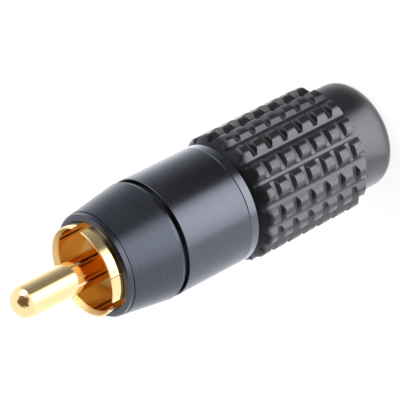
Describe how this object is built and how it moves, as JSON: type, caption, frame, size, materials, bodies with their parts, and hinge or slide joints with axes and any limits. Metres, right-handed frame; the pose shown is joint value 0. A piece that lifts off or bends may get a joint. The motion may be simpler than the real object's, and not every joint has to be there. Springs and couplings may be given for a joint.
{
  "type": "rca plug",
  "caption": "Phono cable plug with a solid pin in a slotted collar, a tapered nose, a smooth body with a coding ring, and a screw-on knobbed bushing that clamps the cable.",
  "frame": {"origin": "centre of the bushing's flat tail face, which the plug stands on", "axes": "+Z along the plug's axis, from the tail towards the tip of the pin"},
  "size_m": [0.013, 0.013, 0.0435],
  "materials": {
    "gilt_brass": "polished gold plating",
    "insulator_plastic": "moulded, natural",
    "black_metal": "satin black plating over turned metal",
    "ring_plastic": "moulded, matt",
    "chuck_plastic": "moulded, natural",
    "bushing_plastic": "moulded, satin"
  },
  "bodies": {
    "plug_body": {"center_pin": "gilt_brass", "pin_insulator": "insulator_plastic", "ground_collar": "gilt_brass", "ground_tag": "gilt_brass", "nose": "black_metal", "body": "black_metal", "coding_ring": "ring_plastic"},
    "chuck": {"chuck": "chuck_plastic"},
    "bushing": {"bushing": "bushing_plastic"}
  },
  "joints": [
    {"name": "chuck_slide", "type": "slide", "parent": "plug_body", "child": "chuck", "axis": [0, 0, -1], "range_m": [0, 0.0032]},
    {"name": "bushing_turn", "type": "hinge", "parent": "chuck", "child": "bushing", "pos_m": [0, 0, 0.0185], "axis": [0, 0, -1], "range_deg": [0, 1440]}
  ],
  "couplings": [
    {"joint": "bushing_turn", "follows": "chuck_slide", "rad_per_m": 7854}
  ]
}
